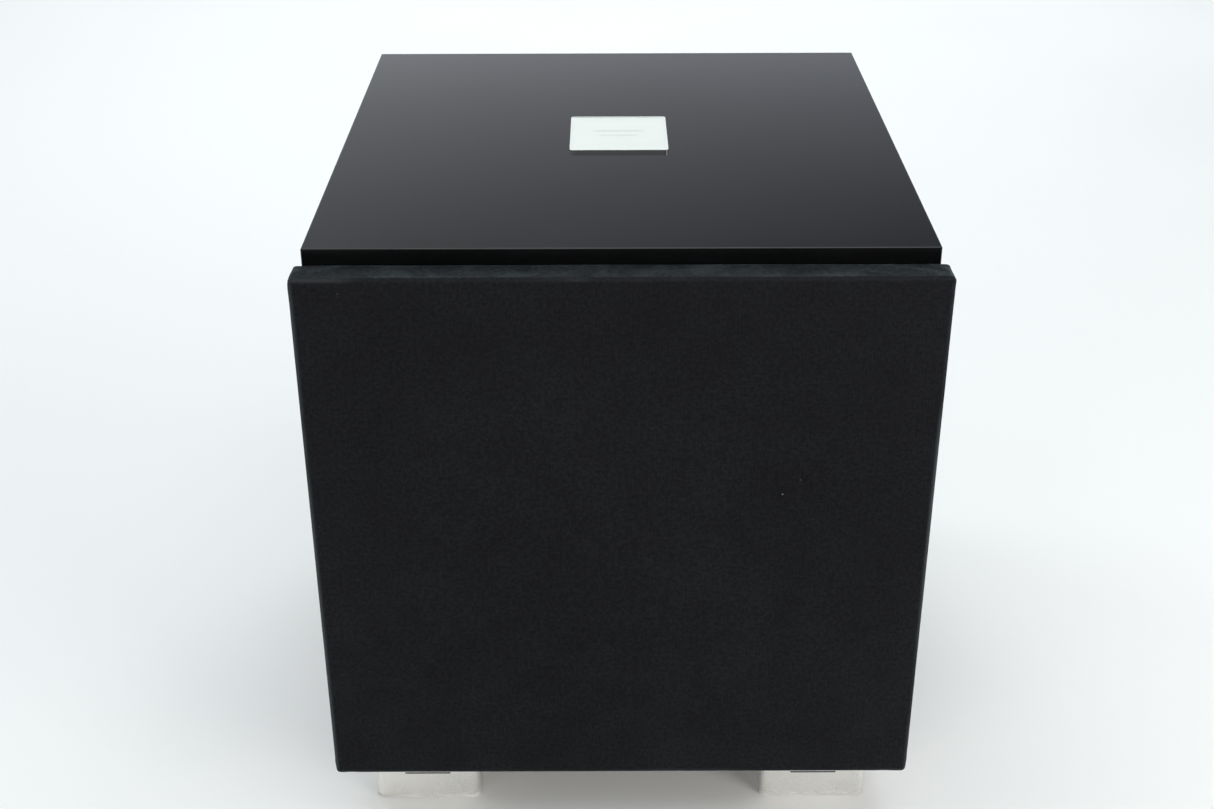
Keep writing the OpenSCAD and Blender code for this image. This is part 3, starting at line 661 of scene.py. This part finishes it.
def revolved(name, outline, to_world, segments=144):
    points = [
        to_world @ Vector((r * math.cos(a), r * math.sin(a), h))
        for a in (2 * math.pi * i / segments for i in range(segments))
        for r, h in outline
    ]
    n = len(outline)
    faces = [
        [i * n + j, (i + 1) % segments * n + j, (i + 1) % segments * n + (j + 1) % n, i * n + (j + 1) % n]
        for i in range(segments)
        for j in range(n)
    ]
    piece = add_mesh(name, points, faces)
    face_outwards(piece)
    return piece


def flexing_ring(name, outline, node, to_world):
    """A ring revolved from an outline in place of a CAD node, in that node's slot, with the node hidden."""
    piece = revolved(name, outline, to_world)
    slot = next(entry["material_slot"] for entry in frame["record"]["subparts"] if entry["node"] == node)
    dress(piece, slot)
    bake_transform(piece)
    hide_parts(node)


SPIDER_NECK, SPIDER_SEAT = 5 * MM, 17 * MM      # flat bands at its inner and outer edges
SPIDER_THICK, SPIDER_WAVE = 0.8 * MM, 1.6 * MM
WOOFER_FORMER, RADIATOR_HUB = 25.45 * MM, 26.0 * MM    # radius of what each is glued to inside


def spider_profile(inner, outer, base):
    """Closed outline (radius, height) of a corrugated cloth disc between two flat bands."""
    steps, waves = 64, 4
    start, stop = inner + SPIDER_NECK, outer - SPIDER_SEAT
    line = [(inner, base)]
    for i in range(steps + 1):
        wave = SPIDER_WAVE * math.sin(2 * math.pi * waves * i / steps)
        line.append((start + (stop - start) * i / steps, base + wave))
    line.append((outer, base))
    return line + [(r, h + SPIDER_THICK) for r, h in reversed(line)]


def surround(name, node, to_world):
    flexing_ring(name, roll_profile(), node, to_world)


def spider(name, node, to_world, inner):
    low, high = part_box(node)
    outer = (high.x - low.x) / 2
    base = (to_world.inverted() @ node_centre(node)).z - SPIDER_THICK / 2
    flexing_ring(name, spider_profile(inner, outer, base), node, to_world)


WOOFER_FRAME = Matrix.Translation((0, CAB_FRONT, CAB_MID.z)) @ Matrix.Rotation(math.pi / 2, 4, "X")
RADIATOR_FRAME = Matrix.Translation((0, CAB_MID.y, CAB_BOTTOM)) @ Matrix.Rotation(math.pi, 4, "X")
surround("woofer_roll", "woofer_surround", WOOFER_FRAME)
surround("radiator_roll", "radiator_surround", RADIATOR_FRAME)
spider("woofer_corrugation", "woofer_spider", WOOFER_FRAME, WOOFER_FORMER)
spider("radiator_corrugation", "radiator_spider", RADIATOR_FRAME, RADIATOR_HUB)


# ---- Wadding -----------------------------------------------------------------------------


def tuft(point):
    return noise.fractal(point * 55, 0.9, 2.1, 4)


def wadding_pad(low, high, out):
    """A crowned pad of loose fibre in the box from low to high, thinner towards its edges."""
    middle, half = (low + high) / 2, (high - low) / 2
    work = bmesh.new()
    bmesh.ops.create_cube(work, size=2.0)
    bmesh.ops.subdivide_edges(work, edges=work.edges[:], cuts=24, use_grid_fill=True)
    thin = min(range(3), key=lambda i: half[i])
    wide = [i for i in range(3) if i != thin]
    for vertex in work.verts:
        u, v = (abs(vertex.co[i]) for i in wide)
        crown = (1 - 0.55 * u ** 8) * (1 - 0.55 * v ** 8)
        place = Vector(middle[i] + vertex.co[i] * half[i] for i in range(3))
        depth = 0.94 * crown * (1 - 0.10 * abs(tuft(place)))
        vertex.co[thin] *= depth
        for i in wide:
            vertex.co[i] *= 0.985 + 0.012 * tuft(place + Vector((3, 5, 7)))
        vertex.co = Vector(middle[i] + vertex.co[i] * half[i] for i in range(3))
    mesh = bpy.data.meshes.new("pad")
    work.to_mesh(mesh)
    work.free()
    base = len(out[0])
    out[0].extend(v.co.copy() for v in mesh.vertices)
    out[1].extend([base + i for i in face.vertices] for face in mesh.polygons)
    bpy.data.meshes.remove(mesh)


def solid_boxes(node):
    """The box of each separate solid of a CAD node, as (low, high)."""
    mesh = nodes[node].data
    owner = list(range(len(mesh.vertices)))

    def root(i):
        while owner[i] != i:
            owner[i] = owner[owner[i]]
            i = owner[i]
        return i

    places = {}
    for vertex in mesh.vertices:
        key = tuple(round(c, 6) for c in vertex.co)
        owner[root(vertex.index)] = root(places.setdefault(key, vertex.index))
    for edge in mesh.edges:
        owner[root(edge.vertices[0])] = root(edge.vertices[1])
    groups = {}
    for vertex in mesh.vertices:
        groups.setdefault(root(vertex.index), []).append(vertex.co)
    return [
        (Vector(min(c[i] for c in g) for i in range(3)), Vector(max(c[i] for c in g) for i in range(3)))
        for g in groups.values()
    ]


wadding_parts = ([], [])
for pad_low, pad_high in solid_boxes("damping_wadding"):
    wadding_pad(pad_low, pad_high, wadding_parts)
wadding_piece = add_mesh("wadding_pads", *wadding_parts)
dress(wadding_piece, "wadding")
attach(wadding_piece, "cabinet")
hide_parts("damping_wadding")


# ---- Printed marks on the amplifier plate ------------------------------------------------

KNOB_PLACES = {"crossover_control": (-50 * MM, 92 * MM), "level_control": (50 * MM, 92 * MM)}
SOCKET_INKS = ((-62 * MM, "white_ink"), (-38 * MM, "red_ink"), (-14 * MM, "blue_ink"))
SOCKET_HEIGHT = 44 * MM
INK_LIFT = 0.05 * MM
KNOB_HEIGHT = 12 * MM
POINTER_SINK = 0.2 * MM     # how far the pointer lies below the knob's face, in its groove
DIAL_STEPS, DIAL_START, DIAL_STEP = 11, -150, 30    # marks on a dial, in degrees from the top
TICK_NEAR, TICK_FAR, LONG_TICK_FAR, TICK_WIDTH = 13 * MM, 15 * MM, 16 * MM, 0.5 * MM
POINTER_NEAR, POINTER_FAR, POINTER_WIDTH = 2.4 * MM, 9.0 * MM, 0.8 * MM
RING_INNER, RING_OUTER = 6.6 * MM, 7.8 * MM


def print_marks(name, quads, lift, ink_name, body):
    """Flat marks given as corner lists in the plate's own right and up."""
    points, faces = [], []
    for quad in quads:
        faces.append(list(range(len(points), len(points) + len(quad))))
        points += [rear_point(x, y, lift) for x, y in quad]
    piece = add_mesh(name, points, faces, smooth=False)
    dress(piece, ink_name)
    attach(piece, body)
    return piece


def spoke(centre, angle, near, far, width):
    """A short bar pointing away from a centre, as four corners."""
    along = Vector((math.sin(angle), math.cos(angle)))
    across = Vector((along.y, -along.x)) * width / 2
    start, end = Vector(centre) + along * near, Vector(centre) + along * far
    return [tuple(p) for p in (start - across, start + across, end + across, end - across)]


def band(centre, inner, outer, segments=48):
    quads = []
    for i in range(segments):
        a, b = (2 * math.pi * j / segments for j in (i, i + 1))
        quads.append([
            (centre[0] + r * math.cos(t), centre[1] + r * math.sin(t))
            for r, t in ((inner, a), (outer, a), (outer, b), (inner, b))
        ])
    return quads


ticks = []
for knob, centre in KNOB_PLACES.items():
    for i in range(DIAL_STEPS):
        far = LONG_TICK_FAR if i % (DIAL_STEPS // 2) == 0 else TICK_FAR
        ticks.append(spoke(centre, math.radians(DIAL_START + DIAL_STEP * i), TICK_NEAR, far, TICK_WIDTH))
    pointer = spoke(centre, 0, POINTER_NEAR, POINTER_FAR, POINTER_WIDTH)
    print_marks(knob + "_pointer", [pointer], KNOB_HEIGHT - POINTER_SINK, "white_ink", knob)
print_marks("dial_ticks", ticks, INK_LIFT, "white_ink", "cabinet")
for x, ink_name in SOCKET_INKS:
    ring = band((x, SOCKET_HEIGHT), RING_INNER, RING_OUTER)
    print_marks("socket_ring_" + ink_name, ring, INK_LIFT, ink_name, "cabinet")


# ---- Dark marks in the bars engraved on the feet -----------------------------------------

FOOT_MARK = (28 * MM, 1.2 * MM)
FOOT_MARK_HEIGHT = CAB_BOTTOM / 2 + 1 * MM
FOOT_MARK_DEPTH = 0.2 * MM


def foot_mark(foot):
    """A dark flat mark laid in the bar engraved on a foot's outer face."""
    low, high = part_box(foot)
    middle = (low.x + high.x) / 2
    y = low.y + FOOT_MARK_DEPTH if low.y < CAB_MID.y else high.y - FOOT_MARK_DEPTH
    half_width, half_height = FOOT_MARK[0] / 2, FOOT_MARK[1] / 2
    corners = [(middle + a * half_width, y, FOOT_MARK_HEIGHT + b * half_height)
               for a, b in ((-1, -1), (1, -1), (1, 1), (-1, 1))]
    piece = add_mesh(foot + "_mark", corners, [[0, 1, 2, 3]], smooth=False)
    dress(piece, "dark_ink")
    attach(piece, "cabinet")


for foot in ("foot_front_left", "foot_front_right", "foot_rear_left", "foot_rear_right"):
    foot_mark(foot)


# ---- Floor and light ---------------------------------------------------------------------

FLOOR_RADIUS = 40.0
CARD_HALF, CARD_NEAR, CARD_FAR, CARD_LIFT = 0.37, -1.01, -1.13, 0.002


def pale_floor():
    look = Look("floor", (0.87, 0.86, 0.835), 0.55)
    look.rough(look.spread(look.noise(3), 0.3, 0.7, 0.5, 0.62))
    segments = 64
    angles = [2 * math.pi * i / segments for i in range(segments)]
    rim = [(FLOOR_RADIUS * math.cos(a), FLOOR_RADIUS * math.sin(a), 0) for a in angles]
    floor = add_mesh("floor", rim, [list(range(segments))], smooth=False)
    floor.data.materials.append(look.material)


def dark_reflection_card():
    """A black card laid in front, out of the camera's sight, which the gloss of the front reflects: a painted
    dark reflection, since it is hidden from the camera, from diffuse light and from shadows, and shows only
    in reflections.
    """
    look = Look("card", grey(0.004), 0.9)
    look.base(look.colours(look.noise(4), [(0.3, grey(0.003)), (0.7, grey(0.006))]))
    corners = [(x, y, CARD_LIFT) for x, y in ((-CARD_HALF, CARD_FAR), (CARD_HALF, CARD_FAR),
                                              (CARD_HALF, CARD_NEAR), (-CARD_HALF, CARD_NEAR))]
    card = add_mesh("card", corners, [[0, 1, 2, 3]], smooth=False)
    card.data.materials.append(look.material)
    card.visible_camera = False
    card.visible_diffuse = False
    card.visible_shadow = False


def soft_box(name, place, aim, size, power, colour=(1, 1, 1)):
    data = bpy.data.lights.new(name, "AREA")
    data.shape = "RECTANGLE"
    data.size, data.size_y = size
    data.energy = power
    data.color = colour
    lamp = bpy.data.objects.new(name, data)
    lamp.location = place
    lamp.rotation_euler = (Vector(aim) - Vector(place)).to_track_quat("-Z", "Y").to_euler()
    bpy.context.scene.collection.objects.link(lamp)


def studio_sky():
    """Cool white walls up to a little above the horizon, darker overhead and towards the right."""
    world = bpy.data.worlds.new("studio")
    bpy.context.scene.world = world
    world.use_nodes = True
    tree = world.node_tree
    background = tree.nodes["Background"]
    place = tree.nodes.new("ShaderNodeTexCoord")
    axes = tree.nodes.new("ShaderNodeSeparateXYZ")
    ramp = tree.nodes.new("ShaderNodeValToRGB")
    stops = [(0.0, 0.95), (0.22, 0.92), (0.262, 0.80), (0.279, 0.68), (0.301, 0.545), (0.335, 0.42),
             (0.357, 0.355), (0.378, 0.305), (0.45, 0.23), (0.62, 0.20), (1.0, 0.30)]
    elements = ramp.color_ramp.elements
    while len(elements) < len(stops):
        elements.new(0.5)
    for element, (at, value) in zip(elements, stops):
        element.position = at
        element.color = (value * 0.97, value * 1.01, value * 1.10, 1)
    side = tree.nodes.new("ShaderNodeMapRange")
    for key, limit in zip(("From Min", "From Max", "To Min", "To Max"), (-0.25, 0.25, 0.155, -0.155)):
        side.inputs[key].default_value = limit
    sum_up = tree.nodes.new("ShaderNodeVectorMath")
    sum_up.operation = "ADD"
    tree.links.new(place.outputs["Generated"], axes.inputs["Vector"])
    tree.links.new(axes.outputs["X"], side.inputs["Value"])
    tree.links.new(axes.outputs["Z"], ramp.inputs["Fac"])
    tree.links.new(ramp.outputs["Color"], sum_up.inputs[0])
    tree.links.new(side.outputs["Result"], sum_up.inputs[1])
    tree.links.new(sum_up.outputs["Vector"], background.inputs["Color"])


pale_floor()
dark_reflection_card()
studio_sky()
soft_box("backdrop", (0.1, 2.5, 2.5), (0, 1.8, 0), (3.2, 2.2), 75, (0.935, 1.0, 1.02))
soft_box("key", (0.3, -1.0, 2.3), (0, 0, 0.2), (1.3, 1.0), 11, (0.92, 1.0, 1.06))
soft_box("window", (-1.3, 0.7, 1.5), (0, -0.1, 0.37), (0.8, 0.8), 6, (0.90, 1.0, 1.08))
soft_box("right", (1.5, -0.7, 1.0), (0.1, -0.2, 0.25), (1.0, 0.8), 5.5)
soft_box("front_left", (-1.2, -1.9, 0.45), (0, 0, 0), (1.2, 0.6), 17, (1.0, 0.985, 0.94))
soft_box("front_right", (1.2, -1.2, 0.45), (0, 0, 0.05), (0.9, 0.6), 15, (1.0, 0.985, 0.94))
bpy.context.scene.view_settings.view_transform = "Standard"
bpy.context.scene.view_settings.look = "None"
